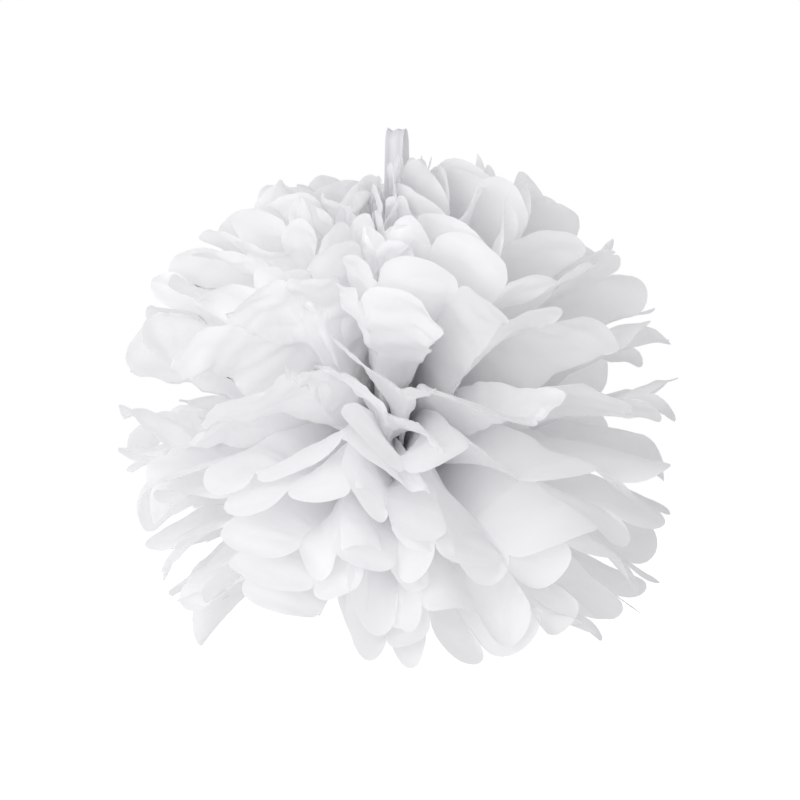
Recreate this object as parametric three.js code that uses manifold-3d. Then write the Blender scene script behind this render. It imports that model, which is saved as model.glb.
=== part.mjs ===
// A tissue paper pom pom that hangs on a ribbon.
// Twelve sheets of tissue are pleated together, cut round at both ends and tied at the waist with wire.
// Each sheet is then pulled apart from its neighbour, so every sheet is a bow tie of two pleated fans.
// Millimetres, +Z up, front towards -Y. The origin is the underside of the top of the hanging ribbon's loop.

import * as THREE from "three";
import { mergeVertices } from "three/addons/utils/BufferGeometryUtils.js";
import Module from "manifold-3d";

const wasm = await Module();
wasm.setup();

// Driving dimensions of a sheet
const sheetWidth = 381; // across the pleats
const sheetLength = 254; // along the pleats, from cut end to cut end
const panelCount = 14; // panels between folds
const panelWidth = sheetWidth / panelCount;
const reach = sheetLength / 2; // from the waist to a petal's tip
const tipRadius = panelWidth / 2; // each panel's end is cut to a half circle
const sheetThickness = 0.4;

// How far each sheet is pulled up or down, in degrees: near the waist, at the petals' tips, and how
// much more its front is raised
const sheetAngles = [
  [-67, -34, 0],
  [-54, -28, 0],
  [-40, -21, 0],
  [-26, -14, 0],
  [-10, -7, 0],
  [4, 3, 3],
  [20, 13, 26],
  [35, 24, 24],
  [49, 36, 19],
  [62, 48, 13],
  [73, 58, 7],
  [88, 78, 1],
];
const frontSpread = 32; // degrees round the ball over which the front is raised
const fanHalfAngle = 91; // each fan opens to this on both sides of the X axis, until the two nearly meet

// Distances along a fold over which the gathered paper opens out from the waist
const turnLength = 8;
const liftLength = 22;
const pleatLength = 55;

// The tie
const coreDepth = 135; // from the origin down to the middle of the waist
const stackPitch = 0.7; // from sheet to sheet in the waist
const waistRadius = 4.6;
const axisClearance = 8; // what the inner folds leave free round the Z axis
const wireRadius = 0.5;
const wireRingRadius = 5.7;
const wireStemLength = 6;
const wireStemTurns = 2.5;
const strandOffset = 0.85 * wireRadius; // of each twisted strand from the stem's middle
const eyeletRadius = 3;
const wireSides = 8;

// The ribbon
const ribbonWidth = 8;
const ribbonThickness = 0.5;
const ribbonNarrowWidth = 3.6; // where it is threaded through the eyelet
const ribbonOpening = [-118, -96]; // heights between which it widens
const ribbonSteps = 60;

// Where a fold is sampled, from the waist to the root of the petals' round ends
const rowDistances = [0, 5, 11, 20, 38, 72, reach - tipRadius];
const tipSteps = 4; // segments of each half circle
const pathStep = 0.5; // the step with which a fold's path is summed up

const radians = THREE.MathUtils.degToRad;
const eased = (distance, length) => THREE.MathUtils.smoothstep(distance, 0, length);

// The ribbon's route, from the eyelet up the front, over the top and down the back to the eyelet.
const ribbonRoute = [
  [0.6, 1.4, -120.6],
  [0.3, 0.2, -120.8],
  [0, -1.1, -120.4],
  [-0.3, -2.0, -118.4],
  [-0.7, -2.4, -114],
  [-1.1, -2.6, -104],
  [-1.4, -2.9, -90],
  [-1.5, -3.3, -72],
  [-1.5, -3.8, -54],
  [-1.5, -4.4, -36],
  [-1.5, -5.0, -20],
  [-1.4, -5.4, -8],
  [-1.2, -5.1, -3],
  [-0.8, -3.7, -0.2],
  [-0.3, -1.4, 1.4],
  [0.3, 1.4, 1.4],
  [0.8, 3.7, -0.2],
  [1.2, 5.1, -3],
  [1.4, 5.4, -8],
  [1.5, 5.0, -20],
  [1.5, 4.4, -36],
  [1.5, 3.8, -54],
  [1.5, 3.4, -72],
  [1.4, 3.1, -90],
  [1.1, 2.9, -104],
  [0.8, 2.7, -114],
  [0.6, 2.6, -117.6],
];

const materials = {
  tissue_paper: new THREE.MeshStandardMaterial({ color: 0xf3f1f4, roughness: 0.9, metalness: 0 }),
  wire: new THREE.MeshStandardMaterial({ color: 0xd9d9d6, roughness: 0.4, metalness: 0.8 }),
  ribbon: new THREE.MeshStandardMaterial({ color: 0xf4f2f3, roughness: 0.7, metalness: 0 }),
};

// A closed solid from an open surface: each point moves half the thickness to either side along its
// own direction, and a wall joins the two skins along every edge that belongs to one face only.
function thickened(points, directions, faces, thickness) {
  const positions = [];
  for (const side of [0.5, -0.5]) {
    points.forEach((point, n) => {
      positions.push(...point.clone().addScaledVector(directions[n], side * thickness).toArray());
    });
  }
  const lower = points.length;
  const corners = [];
  const edges = new Set();
  for (const face of faces) {
    const [a, b, c] = face;
    corners.push(a, b, c, c + lower, b + lower, a + lower);
    face.forEach((from, n) => edges.add(`${from} ${face[(n + 1) % 3]}`));
  }
  for (const edge of edges) {
    const [from, to] = edge.split(" ").map(Number);
    if (!edges.has(`${to} ${from}`)) {
      corners.push(to, from, from + lower, to, from + lower, to + lower);
    }
  }
  const geometry = new THREE.BufferGeometry();
  geometry.setAttribute("position", new THREE.Float32BufferAttribute(positions, 3));
  geometry.setIndex(corners);
  geometry.computeVertexNormals();
  return geometry;
}

// One fold of a sheet on the +X side. Its path leaves the waist along +X, turns to its own azimuth,
// and rises to its sheet's angle. at(distance) gives the path's point, the sheet's upward direction
// there, and the distance from the Z axis.
function foldPath(sheet, fold) {
  const [startAngle, endAngle, frontRaise] = sheetAngles[sheet].map(radians);
  const azimuth = radians(fanHalfAngle) * ((2 * fold) / panelCount - 1);
  const raise = frontRaise * Math.exp(-(((azimuth + Math.PI / 2) / radians(frontSpread)) ** 2));
  const waistHeight = (sheet - (sheetAngles.length - 1) / 2) * stackPitch;
  const waistHalfWidth = Math.sqrt(waistRadius ** 2 - waistHeight ** 2);
  const lift = (distance) => {
    const along = Math.max(0, distance - liftLength) / (reach - liftLength);
    return eased(distance, liftLength) * (raise + THREE.MathUtils.lerp(startAngle, endAngle, along));
  };
  const heading = (distance) => azimuth * eased(distance, turnLength);
  return (distance) => {
    const point = new THREE.Vector3(0, waistHalfWidth * ((2 * fold) / panelCount - 1), waistHeight);
    const steps = Math.max(1, Math.round(distance / pathStep));
    const step = distance / steps;
    for (let n = 0; n < steps; n += 1) {
      const middle = (n + 0.5) * step;
      point.x += step * Math.cos(lift(middle)) * Math.cos(heading(middle));
      point.y += step * Math.cos(lift(middle)) * Math.sin(heading(middle));
      point.z += step * Math.sin(lift(middle));
    }
    const rise = lift(distance);
    const turn = heading(distance);
    const up = new THREE.Vector3(
      -Math.sin(rise) * Math.cos(turn),
      -Math.sin(rise) * Math.sin(turn),
      Math.cos(rise),
    );
    // The pleat's depth is what is left of the panel's width after the spread between two folds, held
    // back where it would reach into the space left free round the Z axis.
    const fromAxis = Math.hypot(point.x, point.y);
    const spread = (fromAxis * 2 * radians(fanHalfAngle)) / panelCount;
    const openWidth = panelWidth * eased(distance, pleatLength);
    const fullDepth = Math.sqrt(Math.max(openWidth ** 2 - spread ** 2, 0));
    const steepness = Math.max(Math.abs(Math.sin(rise)), 0.05);
    const freeDepth = (2 * Math.max(fromAxis - axisClearance, 0)) / steepness;
    const depth = Math.min(fullDepth, freeDepth);
    const side = fold % 2 === 0 ? 0.5 : -0.5;
    point.addScaledVector(up, side * depth);
    return { point, up };
  };
}

// A sheet is one strip through the waist: rows run across it, folds along it. Between two folds the
// paper is flat, and beyond the last row each panel ends in a half circle.
function sheetGeometry(sheet) {
  const points = [];
  const directions = [];
  const faces = [];
  const add = ({ point, up }, mirror) => {
    points.push(new THREE.Vector3(point.x * mirror, point.y, point.z));
    directions.push(new THREE.Vector3(up.x * mirror, up.y, up.z));
    return points.length - 1;
  };
  const folds = Array.from({ length: panelCount + 1 }, (_, fold) => foldPath(sheet, fold));

  const leftRows = rowDistances.slice(1).reverse().map((distance) => [distance, -1]);
  const rightRows = rowDistances.map((distance) => [distance, 1]);
  const rows = [...leftRows, ...rightRows].map(([distance, mirror]) =>
    folds.map((fold) => add(fold(distance), mirror)),
  );
  for (let row = 0; row + 1 < rows.length; row += 1) {
    for (let panel = 0; panel < panelCount; panel += 1) {
      const [a, b] = [rows[row][panel], rows[row + 1][panel]];
      const [c, d] = [rows[row + 1][panel + 1], rows[row][panel + 1]];
      faces.push([a, b, c], [a, c, d]);
    }
  }

  for (const [row, mirror] of [[rows[0], -1], [rows.at(-1), 1]]) {
    for (let panel = 0; panel < panelCount; panel += 1) {
      const arc = [row[panel]];
      for (let step = 1; step < tipSteps; step += 1) {
        const turn = (Math.PI * step) / tipSteps;
        const distance = reach - tipRadius + tipRadius * Math.sin(turn);
        const across = (1 - Math.cos(turn)) / 2;
        const [near, far] = [folds[panel](distance), folds[panel + 1](distance)];
        const point = near.point.lerp(far.point, across);
        const up = near.up.lerp(far.up, across).normalize();
        arc.push(add({ point, up }, mirror));
      }
      arc.push(row[panel + 1]);
      for (let n = 1; n + 1 < arc.length; n += 1) {
        const face = [arc[0], arc[n], arc[n + 1]];
        faces.push(mirror > 0 ? face : face.reverse());
      }
    }
  }
  return thickened(points, directions, faces, sheetThickness);
}

// A three.js geometry as a manifold-3d solid.
function solid(geometry) {
  const bare = geometry.clone();
  bare.deleteAttribute("normal");
  bare.deleteAttribute("uv");
  const merged = mergeVertices(bare, 1e-3);
  return new wasm.Manifold(
    new wasm.Mesh({
      numProp: 3,
      vertProperties: merged.attributes.position.array,
      triVerts: new Uint32Array(merged.index.array),
    }),
  );
}

// Several geometries joined into one closed body.
function joined(geometries) {
  const mesh = geometries.map(solid).reduce((whole, piece) => whole.add(piece)).getMesh();
  const geometry = new THREE.BufferGeometry();
  geometry.setAttribute("position", new THREE.Float32BufferAttribute(mesh.vertProperties, 3));
  geometry.setIndex(Array.from(mesh.triVerts));
  geometry.computeVertexNormals();
  return geometry;
}

// The wire goes once round the waist, its two ends are twisted into a stem, and bent into an eyelet.
function tieWireGeometry() {
  const ring = new THREE.TorusGeometry(wireRingRadius, wireRadius, wireSides, 28);
  ring.rotateY(Math.PI / 2);
  const strand = (phase) => {
    const points = [];
    const samples = 16;
    const sunk = wireRadius / 2; // each end of the stem goes this far into the ring and the eyelet
    for (let n = 0; n <= samples; n += 1) {
      const angle = phase + (2 * Math.PI * wireStemTurns * n) / samples;
      const height = wireRingRadius - sunk + ((wireStemLength + 2 * sunk) * n) / samples;
      points.push(new THREE.Vector3(strandOffset * Math.cos(angle), strandOffset * Math.sin(angle), height));
    }
    const section = new THREE.Shape().absarc(0, 0, wireRadius, 0, 2 * Math.PI);
    return new THREE.ExtrudeGeometry(section, {
      steps: 28,
      curveSegments: wireSides,
      bevelEnabled: false,
      extrudePath: new THREE.CatmullRomCurve3(points),
    });
  };
  const eyelet = new THREE.TorusGeometry(eyeletRadius, wireRadius, wireSides, 20);
  eyelet.rotateX(Math.PI / 2);
  eyelet.translate(0, 0, wireRingRadius + wireStemLength + eyeletRadius);
  return joined([ring, strand(0), strand(Math.PI), eyelet]);
}

// A flat ribbon along its route: its width lies along X, and its faces look away from the route's turns.
function ribbonGeometry() {
  const route = new THREE.CatmullRomCurve3(ribbonRoute.map((place) => new THREE.Vector3(...place)));
  const points = [];
  const directions = [];
  const faces = [];
  for (let n = 0; n <= ribbonSteps; n += 1) {
    const centre = route.getPointAt(n / ribbonSteps);
    const along = route.getTangentAt(n / ribbonSteps);
    const face = new THREE.Vector3(0, -along.z, along.y).normalize();
    const opening = THREE.MathUtils.smoothstep(centre.z, ...ribbonOpening);
    const halfWidth = THREE.MathUtils.lerp(ribbonNarrowWidth, ribbonWidth, opening) / 2;
    for (const side of [-1, 1]) {
      points.push(new THREE.Vector3(centre.x + side * halfWidth, centre.y, centre.z));
      directions.push(face);
    }
    if (n > 0) {
      const near = 2 * n - 2;
      faces.push([near, near + 1, near + 3], [near, near + 3, near + 2]);
    }
  }
  return thickened(points, directions, faces, ribbonThickness);
}

const pomPom = new THREE.Group();
const tied = new THREE.Group(); // what the wire holds, with its own origin in the middle of the waist
tied.position.z = -coreDepth;
pomPom.add(tied);

sheetAngles.forEach((_, sheet) => {
  const mesh = new THREE.Mesh(sheetGeometry(sheet), materials.tissue_paper);
  mesh.name = `tissue_sheet_${String(sheet + 1).padStart(2, "0")}`;
  tied.add(mesh);
});

const tieWire = new THREE.Mesh(tieWireGeometry(), materials.wire);
tieWire.name = "tie_wire";
tied.add(tieWire);

const ribbon = new THREE.Mesh(ribbonGeometry(), materials.ribbon);
ribbon.name = "hanging_ribbon";
pomPom.add(ribbon);

export default pomPom;
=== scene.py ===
# A white tissue paper pom pom on its hanging ribbon: twelve pleated sheets, tied at the waist and
# fluffed out.
# Run it in Blender 4.5. Lengths are metres, angles are degrees until they are used.
import math

import bpy
import numpy as np
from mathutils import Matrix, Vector


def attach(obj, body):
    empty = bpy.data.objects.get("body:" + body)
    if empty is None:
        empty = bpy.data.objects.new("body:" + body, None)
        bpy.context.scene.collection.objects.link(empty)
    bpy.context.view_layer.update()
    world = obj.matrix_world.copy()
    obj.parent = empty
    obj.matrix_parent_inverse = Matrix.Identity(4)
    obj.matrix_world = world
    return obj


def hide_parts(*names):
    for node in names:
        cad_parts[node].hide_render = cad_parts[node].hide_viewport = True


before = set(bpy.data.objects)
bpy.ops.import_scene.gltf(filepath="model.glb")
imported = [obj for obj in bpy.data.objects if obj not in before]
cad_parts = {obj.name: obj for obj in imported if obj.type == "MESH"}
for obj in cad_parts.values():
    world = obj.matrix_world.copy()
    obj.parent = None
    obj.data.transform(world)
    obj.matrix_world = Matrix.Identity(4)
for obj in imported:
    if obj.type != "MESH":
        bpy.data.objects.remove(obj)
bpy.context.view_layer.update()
print("frame loaded:", len(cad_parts), "pieces")

# ---- camera: level with the ball, a little above it ----

camera = {
    "aim": (0.0037, 0.0, -0.1204),
    "distance": 1.35,
    "above": 1.0,  # degrees
    "widthSeen": 0.361,  # at the ball's middle
}


def makeCamera(spec):
    above = math.radians(spec["above"])
    aim = Vector(spec["aim"])
    place = aim + spec["distance"] * Vector((0.0, -math.cos(above), math.sin(above)))
    data = bpy.data.cameras.new("viewCamera")
    data.sensor_width = 36.0
    data.lens = 36.0 * spec["distance"] / spec["widthSeen"]
    data.clip_end = 30.0
    obj = bpy.data.objects.new("viewCamera", data)
    obj.location = place
    obj.rotation_euler = (aim - place).to_track_quat("-Z", "Y").to_euler()
    bpy.context.scene.collection.objects.link(obj)
    bpy.context.scene.camera = obj


makeCamera(camera)

# ---- shared shape tools ----

foldAngle = 40.0  # paper and ribbon that turn by more than this between two faces show a sharp fold


def eased(distance, length):
    # 3x^2 - 2x^3 of x = distance / length, held between 0 and 1
    x = np.clip(distance / length, 0.0, 1.0)
    return x * x * (3.0 - 2.0 * x)


def rolling(places, wavelength, rng, waves=14):
    # a smooth noise near -1 to 1: a mean of sine waves that run in random directions,
    # each with its own phase and a length within a third of the wavelength
    directions = rng.normal(size=(waves, places.shape[-1]))
    directions /= np.linalg.norm(directions, axis=1, keepdims=True)
    lengths = wavelength * rng.uniform(0.75, 1.35, waves)
    phases = rng.uniform(0.0, 2.0 * math.pi, waves)
    angles = places @ (2.0 * math.pi * directions / lengths[:, None]).T + phases
    return np.sin(angles).sum(axis=-1) * math.sqrt(2.0 / waves) * 0.6


def creased(places, wavelength, rng, folds=7):
    # crumpled paper: a mean of triangle waves with sharp straight ridges in random directions,
    # each faded in and out by its own smooth noise so that no crease runs right across
    total = np.zeros(places.shape[:-1])
    for _ in range(folds):
        angle = rng.uniform(0.0, math.pi)
        length = wavelength * rng.uniform(0.6, 1.6)
        across = places @ np.array([math.cos(angle), math.sin(angle)]) / length + rng.uniform()
        ridge = 4.0 * np.abs(across - np.floor(across + 0.5)) - 1.0
        mask = np.clip(0.5 + 1.3 * rolling(places, 2.2 * wavelength, rng, 6), 0.0, 1.0)
        total += ridge * mask
    return total / math.sqrt(folds)


def gridFaces(rows, columns):
    # quads between neighbouring points of a grid whose points are stored row by row
    r, c = np.meshgrid(np.arange(rows - 1), np.arange(columns - 1), indexing="ij")
    corner = (r * columns + c).ravel()
    return np.stack([corner, corner + columns, corner + columns + 1, corner + 1], axis=1)


def makeMesh(name, places, faces, uv=None, sharpAngle=None):
    # a mesh object at the origin from arrays of places and quads; uv gives one pair for each place
    mesh = bpy.data.meshes.new(name)
    mesh.vertices.add(len(places))
    mesh.vertices.foreach_set("co", places.astype(np.float32).ravel())
    mesh.loops.add(faces.size)
    mesh.loops.foreach_set("vertex_index", faces.astype(np.int32).ravel())
    mesh.polygons.add(len(faces))
    mesh.polygons.foreach_set("loop_start", np.arange(0, faces.size, 4, dtype=np.int32))
    mesh.polygons.foreach_set("loop_total", np.full(len(faces), 4, dtype=np.int32))
    mesh.update(calc_edges=True)
    mesh.validate()
    mesh.polygons.foreach_set("use_smooth", np.ones(len(faces), dtype=bool))
    if uv is not None:
        layer = mesh.uv_layers.new(name="flatSheet")
        layer.data.foreach_set("uv", uv[faces.ravel()].astype(np.float32).ravel())
    if sharpAngle is not None:
        mesh.set_sharp_from_angle(angle=math.radians(sharpAngle))
    obj = bpy.data.objects.new(name, mesh)
    bpy.context.scene.collection.objects.link(obj)
    return obj


def gridNormals(places):
    # the cross product of the steps down and across the grid, made one long
    normal = np.cross(np.gradient(places, axis=0), np.gradient(places, axis=1))
    return normal / np.maximum(np.linalg.norm(normal, axis=-1, keepdims=True), 1e-12)


def thinSheet(name, places, flat, thickness):
    # A closed thin sheet from a grid: one skin stands half the thickness above the grid and one
    # below it, along its normals, and a wall round the four sides joins the two.
    rows, columns = places.shape[:2]
    count = rows * columns
    offset = 0.5 * thickness * gridNormals(places)
    skins = np.concatenate([(places + offset).reshape(-1, 3), (places - offset).reshape(-1, 3)])
    upper = gridFaces(rows, columns)
    index = np.arange(count).reshape(rows, columns)
    rim = np.concatenate([index[0, :-1], index[:-1, -1], index[-1, :0:-1], index[:0:-1, 0]])
    nextRim = np.roll(rim, -1)
    wall = np.stack([rim, nextRim, nextRim + count, rim + count], axis=-1)
    faces = np.concatenate([upper, upper[:, ::-1] + count, wall])
    return makeMesh(name, skins, faces, np.tile(flat.reshape(-1, 2), (2, 1)), foldAngle)


# ---- materials ----


def newMaterial(name):
    material = bpy.data.materials.new(name)
    material.use_nodes = True
    nodes = material.node_tree.nodes
    nodes.clear()
    return material, nodes, material.node_tree.links


tissue = {
    "colour": (0.984, 0.983, 0.986, 1.0),
    "shadeColour": (0.962, 0.96, 0.967, 1.0),  # where the tissue lies thicker
    "through": 0.5,  # share of the light that comes from behind the sheet
    "cloudSize": 0.02,
    "crinkleSize": 0.0065,
    "crinkleBend": 0.006,
    "crinkleDepth": 0.0003,
    "fibreSize": 0.0008,
    "fibreDepth": 0.00003,
}


def tissueMaterial(spec):
    # thin white paper: cloudy in thickness, crinkled, with fibres drawn out along the sheet
    material, nodes, links = newMaterial("whiteTissue")
    uv = nodes.new("ShaderNodeUVMap")
    uv.uv_map = "flatSheet"

    cloud = nodes.new("ShaderNodeTexNoise")
    cloud.inputs["Scale"].default_value = 1.0 / spec["cloudSize"]
    cloud.inputs["Detail"].default_value = 2.0
    links.new(uv.outputs["UV"], cloud.inputs["Vector"])
    tint = nodes.new("ShaderNodeMix")
    tint.data_type = "RGBA"
    tint.inputs[6].default_value = spec["shadeColour"]
    tint.inputs[7].default_value = spec["colour"]
    spread = nodes.new("ShaderNodeMapRange")
    spread.inputs["From Min"].default_value = 0.35
    spread.inputs["From Max"].default_value = 0.65
    links.new(cloud.outputs["Fac"], spread.inputs["Value"])
    links.new(spread.outputs["Result"], tint.inputs[0])

    # crinkles are the straight valleys between cells, bent a little by the same clouds
    bend = nodes.new("ShaderNodeVectorMath")
    bend.operation = "MULTIPLY_ADD"
    bend.inputs[1].default_value = (spec["crinkleBend"], spec["crinkleBend"], 0.0)
    links.new(cloud.outputs["Color"], bend.inputs[0])
    links.new(uv.outputs["UV"], bend.inputs[2])
    crinkle = nodes.new("ShaderNodeTexVoronoi")
    crinkle.inputs["Scale"].default_value = 1.0 / spec["crinkleSize"]
    links.new(bend.outputs["Vector"], crinkle.inputs["Vector"])
    stretch = nodes.new("ShaderNodeMapping")
    stretch.inputs["Scale"].default_value = (1.0, 0.25, 1.0)
    links.new(uv.outputs["UV"], stretch.inputs["Vector"])
    fibre = nodes.new("ShaderNodeTexNoise")
    fibre.inputs["Scale"].default_value = 1.0 / spec["fibreSize"]
    fibre.inputs["Detail"].default_value = 1.0
    links.new(stretch.outputs["Vector"], fibre.inputs["Vector"])
    fine = nodes.new("ShaderNodeMath")
    fine.operation = "MULTIPLY"
    fine.inputs[1].default_value = spec["fibreDepth"]
    links.new(fibre.outputs["Fac"], fine.inputs[0])
    height = nodes.new("ShaderNodeMath")
    height.operation = "MULTIPLY_ADD"
    height.inputs[1].default_value = spec["crinkleDepth"]
    links.new(crinkle.outputs["Distance"], height.inputs[0])
    links.new(fine.outputs["Value"], height.inputs[2])
    bump = nodes.new("ShaderNodeBump")
    bump.inputs["Strength"].default_value = 0.6
    bump.inputs["Distance"].default_value = 1.0
    links.new(height.outputs["Value"], bump.inputs["Height"])

    front = nodes.new("ShaderNodeBsdfPrincipled")
    front.inputs["Roughness"].default_value = 0.9
    front.inputs["Specular IOR Level"].default_value = 0.2
    links.new(tint.outputs[2], front.inputs["Base Color"])
    links.new(bump.outputs["Normal"], front.inputs["Normal"])
    behind = nodes.new("ShaderNodeBsdfTranslucent")
    links.new(tint.outputs[2], behind.inputs["Color"])
    links.new(bump.outputs["Normal"], behind.inputs["Normal"])
    both = nodes.new("ShaderNodeMixShader")
    both.inputs["Fac"].default_value = spec["through"]
    links.new(front.outputs["BSDF"], both.inputs[1])
    links.new(behind.outputs["BSDF"], both.inputs[2])
    output = nodes.new("ShaderNodeOutputMaterial")
    links.new(both.outputs["Shader"], output.inputs["Surface"])
    return material


def ribbonMaterial(spec):
    # a thin satin ribbon: threads along and across it, from its own flat coordinates
    material, nodes, links = newMaterial("sheerRibbon")
    uv = nodes.new("ShaderNodeUVMap")
    uv.uv_map = "flatSheet"
    threads = []
    for direction, pitch in zip("XY", spec["threadPitch"]):
        wave = nodes.new("ShaderNodeTexWave")
        wave.bands_direction = direction
        wave.inputs["Scale"].default_value = 0.314 / pitch
        wave.inputs["Distortion"].default_value = 0.6
        links.new(uv.outputs["UV"], wave.inputs["Vector"])
        threads.append(wave)
    weave = nodes.new("ShaderNodeMath")
    weave.operation = "MAXIMUM"
    links.new(threads[0].outputs["Fac"], weave.inputs[0])
    links.new(threads[1].outputs["Fac"], weave.inputs[1])
    bump = nodes.new("ShaderNodeBump")
    bump.inputs["Strength"].default_value = 0.4
    bump.inputs["Distance"].default_value = 0.00008
    links.new(weave.outputs["Value"], bump.inputs["Height"])
    front = nodes.new("ShaderNodeBsdfPrincipled")
    front.inputs["Base Color"].default_value = spec["colour"]
    front.inputs["Roughness"].default_value = spec["roughness"]
    front.inputs["Sheen Weight"].default_value = 0.3
    links.new(bump.outputs["Normal"], front.inputs["Normal"])
    behind = nodes.new("ShaderNodeBsdfTranslucent")
    behind.inputs["Color"].default_value = spec["behindColour"]
    links.new(bump.outputs["Normal"], behind.inputs["Normal"])
    both = nodes.new("ShaderNodeMixShader")
    both.inputs["Fac"].default_value = spec["through"]
    links.new(front.outputs["BSDF"], both.inputs[1])
    links.new(behind.outputs["BSDF"], both.inputs[2])
    output = nodes.new("ShaderNodeOutputMaterial")
    links.new(both.outputs["Shader"], output.inputs["Surface"])
    return material


def wireMaterial(spec):
    # soft bright wire with drawing marks along it
    material, nodes, links = newMaterial("tieWire")
    place = nodes.new("ShaderNodeTexCoord")
    marks = nodes.new("ShaderNodeTexNoise")
    marks.inputs["Scale"].default_value = 900.0
    marks.inputs["Detail"].default_value = 4.0
    links.new(place.outputs["Object"], marks.inputs["Vector"])
    dull = nodes.new("ShaderNodeMapRange")
    dull.inputs["To Min"].default_value = spec["roughness"][0]
    dull.inputs["To Max"].default_value = spec["roughness"][1]
    links.new(marks.outputs["Fac"], dull.inputs["Value"])
    metal = nodes.new("ShaderNodeBsdfPrincipled")
    metal.inputs["Base Color"].default_value = spec["colour"]
    metal.inputs["Metallic"].default_value = 1.0
    links.new(dull.outputs["Result"], metal.inputs["Roughness"])
    output = nodes.new("ShaderNodeOutputMaterial")
    links.new(metal.outputs["BSDF"], output.inputs["Surface"])
    return material


whiteTissue = tissueMaterial(tissue)
print("materials made")

# ---- the tissue sheets ----

sheets = {
    "across": 0.381,  # flat size over the pleats
    "along": 0.254,  # flat size from cut end to cut end
    "panels": 14,
    "coreHeight": -0.135,
    "stackPitch": 0.0007,
    "waistRadius": 0.0046,
    "axisClearance": 0.0035,
    "halfFan": 104.0,
    "turnLength": 0.0075,
    "liftLength": 0.022,
    "pleatLength": 0.036,
    "foldSteps": 320,  # points along each fold
    "foldsPast": 1.02,  # the folds are worked out to just past the cut ends
    "columnsPerPanel": 13,
    "rowsPerHalf": 76,
    "rowSpacing": 0.86,  # under 1, rows draw closer together towards the cut ends
    # lift near the waist, lift at the tips, how far the front is raised, how far the tips bend down
    "lifts": [
        (-57, -27, 0, 8),
        (-48, -24, 0, 18),
        (-36, -19, 0, 26),
        (-23, -12, 0, 30),
        (-9, -6, 0, 24),
        (4, 3, 5, 8),
        (20, 13, 26, 8),
        (35, 24, 24, 10),
        (49, 36, 19, 10),
        (62, 48, 13, 8),
        (73, 58, 7, 10),
        (81, 66, 1, 16),
    ],
    "bendFrom": 0.58,  # share of the petals' length at which the tips start to bend down
    "bendVaries": (0.7, 1.3),
    "bendMadeGood": 0.2,  # share of the bend by which the whole fold is lifted again
    "offCentre": 0.0034,  # the tie sits this far left of the sheets' middle
    "frontSpread": 32.0,  # degrees round the ball over which the front is raised
    "bunching": 0.17,  # how much closer the folds stand where the two fans meet
    "foldTurnJitter": 2.2,
    "foldLiftJitter": 4.0,
    "waistLean": 0.7,  # share of a fold's lean that it has near the waist already
    "steadyLean": (0.4, 0.2),  # share of the lean in the lowest sheet, and what each one above adds
    "swayJitter": 3.0,
    "swingJitter": 0.12,  # of a panel's width
    "edgeLift": 5.0,  # where the two fans meet, one passes over the other
    "fullness": (0.9, 1.0),  # how much of its width each panel shows near the waist
    "opened": 0.96,  # and how much of that at the tips, where the pleats have relaxed
    "crumple": (0.0046, 0.0024),  # of the left fan and of the right one
    "creases": ((0.8, 0.032), (0.4, 0.015)),  # share and size of the large and the small ones
    "ripples": (0.15, 0.02),  # share and size
    "smoothSheets": 5,  # the lowest sheets are this much smoother
    "smoothness": 0.35,
    "leastPleat": 0.3,  # share of a panel's width that a pleat keeps as its depth
    "edgePleat": 0.4,  # the outermost folds stand only this share as deep
    "foldSoftness": (0.02, 0.07),  # of a panel, at the waist and what the tips add
    "endJitter": 0.07,
    "bowJitter": 0.002,
    "curlJitter": 0.005,
    "curlFrom": 0.62,
    "warp": 0.004,
    "warpSize": 0.11,
    "wanderWaves": 6,
    "wanderShared": 2.2,
    "wanderOwn": 1.1,
    "broader": 1.02,  # the ball is pulled out a little more to its sides
    "seed": 20,
}


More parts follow.
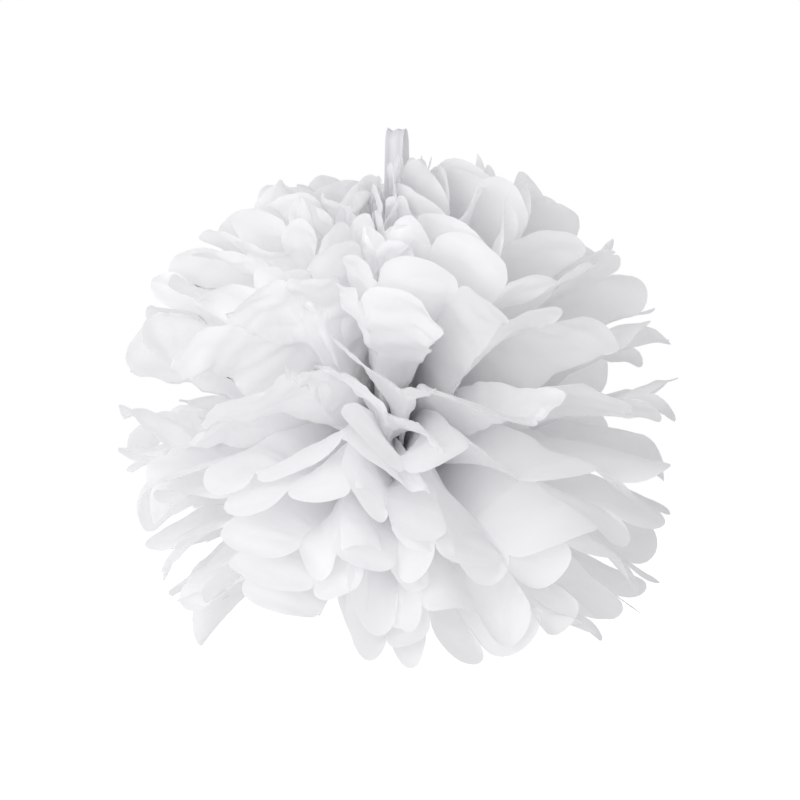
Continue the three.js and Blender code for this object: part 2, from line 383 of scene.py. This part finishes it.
def foldTable(spec, number, lifts, side, rng, wander):
    # Where every fold of one fan runs: table[step, fold] gives its place, and the sheet's upward and
    # sideways directions there. A fold leaves the waist along X, turns to its own heading and rises to
    # its lift; its place is the running sum of (cos lift cos turn, cos lift sin turn, sin lift).
    # Folds stand alternately above and below the sheet by half of sqrt(width^2 - spread^2).
    panels = spec["panels"]
    reach = spec["along"] / 2.0 + side * spec["offCentre"]
    width = spec["across"] / panels
    folds = np.arange(panels + 1)
    fraction = 2.0 * folds / panels - 1.0
    distance = np.linspace(0.0, reach * spec["foldsPast"], spec["foldSteps"] + 1)[:, None]

    even = (1.0 + spec["bunching"]) * fraction - spec["bunching"] * fraction ** 3
    turn = spec["halfFan"] * even + rng.normal(0.0, spec["foldTurnJitter"], panels + 1)
    roundBall = np.where(side > 0, turn, 180.0 - turn)  # the heading seen on the whole ball
    fromFront = (roundBall + 90.0 + 180.0) % 360.0 - 180.0
    raised = lifts[2] * np.exp(-((fromFront / spec["frontSpread"]) ** 2))
    jitter = rng.normal(0.0, spec["foldLiftJitter"], panels + 1)
    overlap = spec["edgeLift"] * side * np.sign(fraction) * np.abs(fraction) ** 8
    steadiness = min(1.0, spec["steadyLean"][0] + spec["steadyLean"][1] * number)
    lean = steadiness * (wander(roundBall, number) + jitter) - overlap + raised
    # bending the tips down lowers them by about a fifth of the bend, which the whole fold makes good
    bend = lifts[3] * rng.uniform(*spec["bendVaries"], panels + 1)
    madeGood = spec["bendMadeGood"] * bend
    near = np.radians(lifts[0] + spec["waistLean"] * lean + madeGood)
    far = np.radians(lifts[1] + lean + madeGood)
    along = np.clip((distance - spec["liftLength"]) / (reach - spec["liftLength"]), 0.0, 1.0)
    lift = eased(distance, spec["liftLength"]) * (near + (far - near) * along)
    bendStart = spec["bendFrom"] * reach
    lift = lift - np.radians(bend) * eased(distance - bendStart, reach - bendStart)
    sway = np.radians(rng.normal(0.0, spec["swayJitter"], panels + 1)) * along ** 2
    heading = np.radians(turn) * eased(distance, spec["turnLength"]) + sway

    step = np.diff(distance, axis=0)
    middleLift = 0.5 * (lift[1:] + lift[:-1])
    middleTurn = 0.5 * (heading[1:] + heading[:-1])
    level = np.cos(middleLift)
    moves = np.stack([level * np.cos(middleTurn), level * np.sin(middleTurn), np.sin(middleLift)], axis=-1)
    moves = step[..., None] * moves
    waistHeight = (number - (len(spec["lifts"]) - 1) / 2.0) * spec["stackPitch"]
    waistHalf = math.sqrt(spec["waistRadius"] ** 2 - waistHeight ** 2)
    start = np.stack([0.0 * fraction, waistHalf * fraction, np.full(panels + 1, waistHeight)], axis=-1)
    place = start + np.concatenate([np.zeros((1, panels + 1, 3)), np.cumsum(moves, axis=0)])

    up = np.stack([-np.sin(lift) * np.cos(heading), -np.sin(lift) * np.sin(heading), np.cos(lift)], axis=-1)
    sideways = np.stack([-np.sin(heading), np.cos(heading), np.zeros_like(heading)], axis=-1)
    fromAxis = np.hypot(place[..., 0], place[..., 1])
    spread = fromAxis * np.gradient(np.radians(turn))
    fullness = rng.uniform(*spec["fullness"], panels + 1)
    relaxed = 1.0 - (1.0 - spec["opened"]) * eased(distance, reach)
    openWidth = width * eased(distance, spec["pleatLength"]) * fullness * relaxed
    depth = np.sqrt(np.maximum(openWidth ** 2 - spread ** 2, (spec["leastPleat"] * openWidth) ** 2))
    free = 2.0 * np.maximum(fromAxis - spec["axisClearance"], 0.0) / np.maximum(np.abs(np.sin(lift)), 0.05)
    depth = np.minimum(depth, free)
    edge = np.where(np.abs(fraction) > 0.99, spec["edgePleat"], 1.0)
    standing = np.where(folds % 2 == 0, 0.5, -0.5) * depth * edge
    swing = rng.normal(0.0, spec["swingJitter"], panels + 1) * width * eased(distance, reach)
    place = place + standing[..., None] * up + swing[..., None] * sideways
    place[..., 0] *= side
    up[..., 0] *= side
    return place, up, distance[-1, 0]


def foldWeights(position, softness, panels):
    # How much each fold counts for a point that lies position folds across the sheet: a straight line
    # from fold to fold, rounded off over softness on both sides of each fold.
    def ramp(x):
        inside = (x + softness) ** 2 / (4.0 * softness)
        return np.where(x < -softness, 0.0, np.where(x > softness, x, inside))

    folds = np.arange(panels + 1)
    x = position[..., None] - folds
    softness = softness[..., None]
    weights = ramp(x + 1.0) - 2.0 * ramp(x) + ramp(x - 1.0)
    return weights / weights.sum(axis=-1, keepdims=True)


def fanPlaces(spec, number, side, rng, wander):
    # One fan as a grid: rows from the waist to the cut ends, columns across the pleats. Each panel's
    # column reaches as far as its half-round end, length = root + radius sin(angle).
    panels = spec["panels"]
    reach = spec["along"] / 2.0 + side * spec["offCentre"]
    width = spec["across"] / panels
    perPanel = spec["columnsPerPanel"]
    angle = np.pi * np.arange(perPanel) / perPanel
    within = 0.5 - 0.5 * np.cos(angle)
    position = np.append((np.arange(panels)[:, None] + within).ravel(), panels)
    inPanel = position - np.floor(np.minimum(position, panels - 1e-9))
    petal = np.minimum(position.astype(int), panels - 1)
    roundEnd = width * np.sqrt(np.maximum(inPanel * (1.0 - inPanel), 0.0))
    endLength = reach - width / 2.0 + roundEnd * (1.0 + rng.normal(0.0, spec["endJitter"], panels))[petal]
    share = (np.arange(spec["rowsPerHalf"] + 1) / spec["rowsPerHalf"]) ** spec["rowSpacing"]
    distance = share[:, None] * endLength
    position = np.broadcast_to(position, distance.shape)
    outward = distance / reach

    table, up, tableEnd = foldTable(spec, number, spec["lifts"][number], side, rng, wander)
    index = distance / tableEnd * (len(table) - 1)
    lower = np.minimum(index.astype(int), len(table) - 2)
    part = (index - lower)[..., None, None]
    softness = spec["foldSoftness"][0] + spec["foldSoftness"][1] * outward ** 2
    weights = foldWeights(position, softness, panels)
    foldPlaces = table[lower] * (1.0 - part) + table[lower + 1] * part
    places = np.einsum("rcf,rcfk->rck", weights, foldPlaces)
    rising = np.einsum("rcf,rcfk->rck", weights, up[lower])
    rising /= np.linalg.norm(rising, axis=-1, keepdims=True)

    # each petal bows across its width and curls at its tip by its own amount
    bow = rng.normal(0.0, spec["bowJitter"], panels)[petal] * np.sin(np.pi * inPanel) * outward ** 1.5
    curlStart = spec["curlFrom"]
    curl = rng.normal(0.0, spec["curlJitter"], panels)[petal]
    curl = curl * np.maximum(outward - curlStart, 0.0) ** 2 / (1.0 - curlStart) ** 2
    curl = curl * np.sin(np.pi * inPanel) ** 0.5
    places = places + (bow + curl)[..., None] * rising
    middle = spec["along"] / 2.0 - spec["offCentre"]
    flat = np.stack([position * width, middle + side * distance], axis=-1)
    return places, flat, outward


def sheetMesh(spec, number, wander):
    # The whole sheet: the left fan from its cut ends to the waist, then the right fan out again.
    rng = np.random.default_rng(spec["seed"] * 100 + number)
    left, leftFlat, leftOut = fanPlaces(spec, number, -1, rng, wander)
    right, rightFlat, rightOut = fanPlaces(spec, number, 1, rng, wander)
    places = np.concatenate([left[:0:-1], right])
    flat = np.concatenate([leftFlat[:0:-1], rightFlat])
    outward = np.concatenate([leftOut[:0:-1], rightOut])

    # crumples stand along the surface's own normal and grow outwards from the waist
    crumple = sum(share * creased(flat, size, rng) for share, size in spec["creases"])
    share, size = spec["ripples"]
    crumple = crumple + share * rolling(flat, size, rng)
    strength = np.where(flat[..., 1] < spec["along"] / 2.0 - spec["offCentre"], *spec["crumple"])
    if number < spec["smoothSheets"]:
        strength = strength * spec["smoothness"]
    places = places + (strength * outward ** 0.8 * crumple)[..., None] * gridNormals(places)

    # every sheet is carried along by the same slow warp, so that neighbours stay nested
    shared = np.random.default_rng(spec["seed"])
    warp = np.stack([rolling(places, spec["warpSize"], shared) for _ in range(3)], axis=-1)
    places = places + spec["warp"] * warp * eased(outward, 1.0)[..., None]
    places = places * np.array([spec["broader"], 1.0, 1.0]) + np.array([0.0, 0.0, spec["coreHeight"]])

    # tissue is so thin that one surface is the whole sheet, and light passes through it once
    name = f"pleatedTissue{number + 1:02d}"
    faces = gridFaces(*places.shape[:2])
    obj = makeMesh(name, places.reshape(-1, 3), faces, flat.reshape(-1, 2), foldAngle)
    obj.data.materials.append(whiteTissue)
    return obj


def sheetWander(spec):
    # how a sheet's lift wanders round the ball: a slow sum of waves, mostly the same for all sheets
    rng = np.random.default_rng(spec["seed"] + 1)
    count = len(spec["lifts"])
    turns = np.arange(1, spec["wanderWaves"] + 1)
    shared = rng.normal(0.0, spec["wanderShared"], (len(turns), 2)) / np.sqrt(turns)[:, None]
    own = rng.normal(0.0, spec["wanderOwn"], (count, len(turns), 2))

    def waveSum(waves, roundBall):
        angles = np.radians(roundBall)[:, None] * turns
        return (waves[:, 0] * np.cos(angles) + waves[:, 1] * np.sin(angles)).sum(axis=-1)

    front = waveSum(shared, np.array([-90.0]))

    def wander(roundBall, number):
        return waveSum(shared + own[number], roundBall) - front

    return wander


def makeSheets(spec):
    wander = sheetWander(spec)
    for number in range(len(spec["lifts"])):
        obj = sheetMesh(spec, number, wander)
        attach(obj, "root")
        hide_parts(f"tissue_sheet_{number + 1:02d}")
    print("tissue sheets made")


makeSheets(sheets)

# ---- the ribbon ----

ribbon = {
    "width": 0.008,
    "narrowWidth": 0.0036,
    "thickness": 0.0002,
    "exit": (0.0006, 0.0014, -0.1206),
    "lean": 0.0024,  # how far its top stands to the right
    "opensFrom": -0.118,  # height at which it leaves the eyelet and starts to open to its full width
    "opensOver": 0.022,
    "rows": 260,
    "columns": 13,
    "cupDepth": 0.0004,
    "gatherDepth": 0.0005,
    "rippleDepth": 0.00025,
    "colour": (0.9, 0.9, 0.91, 1.0),
    "behindColour": (0.9, 0.9, 0.92, 1.0),
    "through": 0.42,
    "roughness": 0.45,
    "threadPitch": (0.0003, 0.0004),
}

# the ribbon's route: through the eyelet, up the front, over the top and down the back
ribbonRoute = [
    (0.0006, 0.0014, -0.1206),
    (0.0003, 0.0002, -0.1208),
    (0.0, -0.0011, -0.1204),
    (-0.0003, -0.0020, -0.1184),
    (-0.0007, -0.0024, -0.1140),
    (-0.0011, -0.0026, -0.1040),
    (-0.0014, -0.0029, -0.0900),
    (-0.0015, -0.0033, -0.0720),
    (-0.0015, -0.0038, -0.0540),
    (-0.0015, -0.0044, -0.0360),
    (-0.0015, -0.0050, -0.0200),
    (-0.0014, -0.0054, -0.0080),
    (-0.0012, -0.0051, -0.0030),
    (-0.0008, -0.0037, -0.0002),
    (-0.0003, -0.0014, 0.0014),
    (0.0003, 0.0014, 0.0014),
    (0.0008, 0.0037, -0.0002),
    (0.0012, 0.0051, -0.0030),
    (0.0014, 0.0054, -0.0080),
    (0.0015, 0.0050, -0.0200),
    (0.0015, 0.0044, -0.0360),
    (0.0015, 0.0038, -0.0540),
    (0.0015, 0.0034, -0.0720),
    (0.0014, 0.0031, -0.0900),
    (0.0011, 0.0029, -0.1040),
    (0.0008, 0.0027, -0.1140),
    (0.0006, 0.0026, -0.1176),
]


def smoothRoute(points, samples):
    # a Catmull-Rom curve through the points, then evened out to samples at equal distances along it
    p = np.array(points)
    p = np.concatenate([[2.0 * p[0] - p[1]], p, [2.0 * p[-1] - p[-2]]])
    t = np.linspace(0.0, 1.0, 20, endpoint=False)[:, None, None]
    a, b, c, d = p[:-3], p[1:-2], p[2:-1], p[3:]
    curve = 0.5 * (2.0 * b + (c - a) * t + (2.0 * a - 5.0 * b + 4.0 * c - d) * t ** 2)
    curve = curve + 0.5 * (3.0 * b - a - 3.0 * c + d) * t ** 3
    curve = np.concatenate([curve.transpose(1, 0, 2).reshape(-1, 3), p[-2:-1]])
    run = np.append(0.0, np.cumsum(np.linalg.norm(np.diff(curve, axis=0), axis=1)))
    even = np.linspace(0.0, run[-1], samples)
    return np.stack([np.interp(even, run, curve[:, k]) for k in range(3)], axis=-1), run[-1]


def makeRibbon(spec):
    # A flat strip: at each step of the route its width lies along X, and it stands off its route by
    # a parabola across it plus two sine waves, one that gathers it lengthwise and one that ripples it.
    centre, length = smoothRoute(ribbonRoute, spec["rows"])
    along = np.gradient(centre, axis=0)
    face = np.stack([np.zeros(len(centre)), -along[:, 2], along[:, 1]], axis=-1)
    face /= np.linalg.norm(face, axis=-1, keepdims=True)
    opening = eased(centre[:, 2] - spec["opensFrom"], spec["opensOver"])
    half = 0.5 * (spec["narrowWidth"] + (spec["width"] - spec["narrowWidth"]) * opening)
    across = np.linspace(-1.0, 1.0, spec["columns"])
    cup = spec["cupDepth"] * (across ** 2 - 0.33)
    run = np.linspace(0.0, length, len(centre))
    weaving = 5.2 * across + 0.9 * np.sin(run[:, None] / 0.017)
    gather = spec["gatherDepth"] * np.sin(weaving) * opening[:, None]
    ripple = spec["rippleDepth"] * np.sin(run[:, None] / 0.011 + 2.0 * across) * opening[:, None]
    places = centre[:, None, :] + (half[:, None] * across)[..., None] * np.array([1.0, 0.0, 0.0])
    places = places + (cup + ripple + gather)[..., None] * face[:, None, :]
    lean = spec["lean"] * eased(centre[:, 2] - centre[:, 2].min(), np.ptp(centre[:, 2]))
    places[..., 0] += lean[:, None]
    flat = np.stack(np.broadcast_arrays(0.5 * spec["width"] * (1.0 + across), run[:, None]), axis=-1)
    obj = thinSheet("hangingRibbon", places, flat, spec["thickness"])
    obj.data.materials.append(ribbonMaterial(spec))
    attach(obj, "root")
    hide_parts("hanging_ribbon")
    print("ribbon made, length", round(float(length), 4))


makeRibbon(ribbon)

# ---- the tie wire ----

wire = {
    "radius": 0.0005,
    "ringRadius": 0.0057,
    "stemLength": 0.006,
    "stemTurns": 2.5,
    "eyeletRadius": 0.003,
    "ringGap": 0.14,  # radians left open on each side of the stem, in the ring and in the eyelet
    "eyeletGap": 0.3,
    "strandShare": 0.95,  # the two strands of the stem press into each other a little
    "colour": (0.8, 0.8, 0.79, 1.0),
    "roughness": (0.25, 0.5),
}


def tubeAlong(name, route, radius, sides=14):
    # a closed tube: a circle carried round a closed route, kept square to it by frames that turn as
    # little as they can, and with the twist left at the join shared out along the whole route
    ahead = np.roll(route, -1, axis=0) - np.roll(route, 1, axis=0)
    ahead /= np.linalg.norm(ahead, axis=1, keepdims=True)
    first = np.cross(ahead[0], (0.3, 0.9, 0.2))
    frames = [first / np.linalg.norm(first)]
    for direction in ahead[1:]:
        moved = frames[-1] - direction * frames[-1].dot(direction)
        frames.append(moved / np.linalg.norm(moved))
    across = np.array(frames)
    last = across[-1] - ahead[0] * across[-1].dot(ahead[0])
    twist = math.atan2(last.dot(np.cross(ahead[0], across[0])), last.dot(across[0]))
    turn = -twist * np.arange(len(route)) / len(route)
    angle = turn[:, None] + 2.0 * np.pi * np.arange(sides) / sides
    other = np.cross(ahead, across)
    places = route[:, None, :] + radius * (
        np.cos(angle)[..., None] * across[:, None, :] + np.sin(angle)[..., None] * other[:, None, :]
    )
    count = len(route)
    r, c = np.meshgrid(np.arange(count), np.arange(sides), indexing="ij")
    nextRow = (r + 1) % count
    nextColumn = (c + 1) % sides
    corners = [r * sides + nextColumn, nextRow * sides + nextColumn, nextRow * sides + c, r * sides + c]
    return makeMesh(name, places.reshape(-1, 3), np.stack(corners, axis=-1).reshape(-1, 4))


def makeWire(spec):
    # One wire: round the waist in the YZ plane, up the stem as two strands twisted together, and
    # round the eyelet, whose hole faces Y.
    core = sheets["coreHeight"]
    ring = spec["ringRadius"]
    stem = spec["stemLength"]
    eye = spec["eyeletRadius"]
    strand = spec["radius"] * spec["strandShare"]
    gap = spec["ringGap"]
    ringAngle = np.linspace(-math.pi / 2.0 + gap, 1.5 * math.pi - gap, 90)
    ringAngle = ringAngle + math.pi
    ringPlaces = np.stack([0.0 * ringAngle, ring * np.cos(ringAngle), ring * np.sin(ringAngle)], axis=-1)
    height = np.linspace(0.0, 1.0, 60)
    up = ring + 0.0007 + height * (stem - 0.0009)
    angle = 2.0 * math.pi * spec["stemTurns"] * height - math.pi / 2.0
    rising = np.stack([strand * np.cos(angle), -strand * np.sin(angle), up], axis=-1)
    falling = (rising * np.array([-1.0, -1.0, 1.0]))[::-1]
    gap = spec["eyeletGap"]
    eyeAngle = np.linspace(-math.pi / 2.0 + gap, 1.5 * math.pi - gap, 40)
    eyeTop = ring + stem + eye
    sign = -1.0 if rising[-1, 0] < 0 else 1.0
    eyePlaces = np.stack(
        [sign * eye * np.cos(eyeAngle), 0.0 * eyeAngle, eyeTop + eye * np.sin(eyeAngle)], axis=-1
    )
    joined = np.concatenate([ringPlaces, rising, eyePlaces, falling])
    joined = joined + np.array([0.0, 0.0, core])
    for _ in range(3):
        joined = 0.25 * np.roll(joined, 1, axis=0) + 0.5 * joined + 0.25 * np.roll(joined, -1, axis=0)
    obj = tubeAlong("twistedTie", joined, spec["radius"])
    obj.data.materials.append(wireMaterial(spec))
    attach(obj, "root")
    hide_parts("tie_wire")
    print("wire made")


makeWire(wire)

# ---- floor, light and picture settings ----

studio = {
    "floorDrop": 0.62,  # below the hanging point
    "floorSize": 16.0,
    "floorColour": (0.82, 0.82, 0.82, 1.0),
    "keyPlace": (-0.7, -2.3, -0.05),
    "keySize": 1.8,
    "keyPower": 25.0,
    "skyLeft": 0.97,
    "skyRight": 0.46,
    "nearGlow": 0.04,  # of the floor below the ball
    "glow": 0.6,  # and behind it
    "glowFrom": 1.1,
    "glowTo": 2.4,
}


def makeStage(spec):
    half = spec["floorSize"] / 2.0
    corners = np.array([(-half, -half, 0.0), (half, -half, 0.0), (half, half, 0.0), (-half, half, 0.0)])
    corners = corners - np.array([0.0, 0.0, spec["floorDrop"]])
    floor = makeMesh("paleFloor", corners, np.array([[0, 1, 2, 3]]))
    material, nodes, links = newMaterial("paleFloor")
    paint = nodes.new("ShaderNodeBsdfPrincipled")
    paint.inputs["Base Color"].default_value = spec["floorColour"]
    paint.inputs["Roughness"].default_value = 1.0
    paint.inputs["Specular IOR Level"].default_value = 0.0
    paint.inputs["Emission Color"].default_value = (1.0, 1.0, 1.0, 1.0)
    # it glows from glowFrom metres outwards, as a lit backdrop would
    place = nodes.new("ShaderNodeTexCoord")
    away = nodes.new("ShaderNodeVectorMath")
    away.operation = "LENGTH"
    level = nodes.new("ShaderNodeMapRange")
    level.interpolation_type = "SMOOTHSTEP"
    level.inputs["From Min"].default_value = spec["glowFrom"]
    level.inputs["From Max"].default_value = spec["glowTo"]
    level.inputs["To Min"].default_value = spec["nearGlow"]
    level.inputs["To Max"].default_value = spec["glow"]
    links.new(place.outputs["Object"], away.inputs[0])
    links.new(away.outputs["Value"], level.inputs["Value"])
    links.new(level.outputs["Result"], paint.inputs["Emission Strength"])
    output = nodes.new("ShaderNodeOutputMaterial")
    links.new(paint.outputs["BSDF"], output.inputs["Surface"])
    floor.data.materials.append(material)


def makeLights(spec):
    data = bpy.data.lights.new("softKey", "AREA")
    data.shape = "DISK"
    data.size = spec["keySize"]
    data.energy = spec["keyPower"]
    key = bpy.data.objects.new("softKey", data)
    key.location = spec["keyPlace"]
    aim = Vector((0.0, 0.0, sheets["coreHeight"]))
    key.rotation_euler = (aim - key.location).to_track_quat("-Z", "Y").to_euler()
    bpy.context.scene.collection.objects.link(key)

    # the sky: plain white to look at, and brighter on the left than on the right as a light
    world = bpy.data.worlds.new("studio")
    world.use_nodes = True
    bpy.context.scene.world = world
    nodes = world.node_tree.nodes
    links = world.node_tree.links
    nodes.clear()
    place = nodes.new("ShaderNodeTexCoord")
    split = nodes.new("ShaderNodeSeparateXYZ")
    links.new(place.outputs["Generated"], split.inputs["Vector"])
    level = nodes.new("ShaderNodeMapRange")
    level.inputs["From Min"].default_value = -0.8
    level.inputs["From Max"].default_value = 0.8
    level.inputs["To Min"].default_value = spec["skyLeft"]
    level.inputs["To Max"].default_value = spec["skyRight"]
    links.new(split.outputs["X"], level.inputs["Value"])
    lighting = nodes.new("ShaderNodeBackground")
    lighting.inputs["Color"].default_value = (0.985, 0.985, 1.0, 1.0)
    links.new(level.outputs["Result"], lighting.inputs["Strength"])
    seen = nodes.new("ShaderNodeBackground")
    seen.inputs["Color"].default_value = (1.0, 1.0, 1.0, 1.0)
    path = nodes.new("ShaderNodeLightPath")
    choice = nodes.new("ShaderNodeMixShader")
    links.new(path.outputs["Is Camera Ray"], choice.inputs["Fac"])
    links.new(lighting.outputs["Background"], choice.inputs[1])
    links.new(seen.outputs["Background"], choice.inputs[2])
    output = nodes.new("ShaderNodeOutputWorld")
    links.new(choice.outputs["Shader"], output.inputs["Surface"])


makeStage(studio)
makeLights(studio)

scene = bpy.context.scene
scene.view_settings.view_transform = "Standard"
scene.view_settings.look = "None"
scene.cycles.diffuse_bounces = 12
scene.cycles.transmission_bounces = 12
scene.cycles.max_bounces = 16
print("stage and light made")
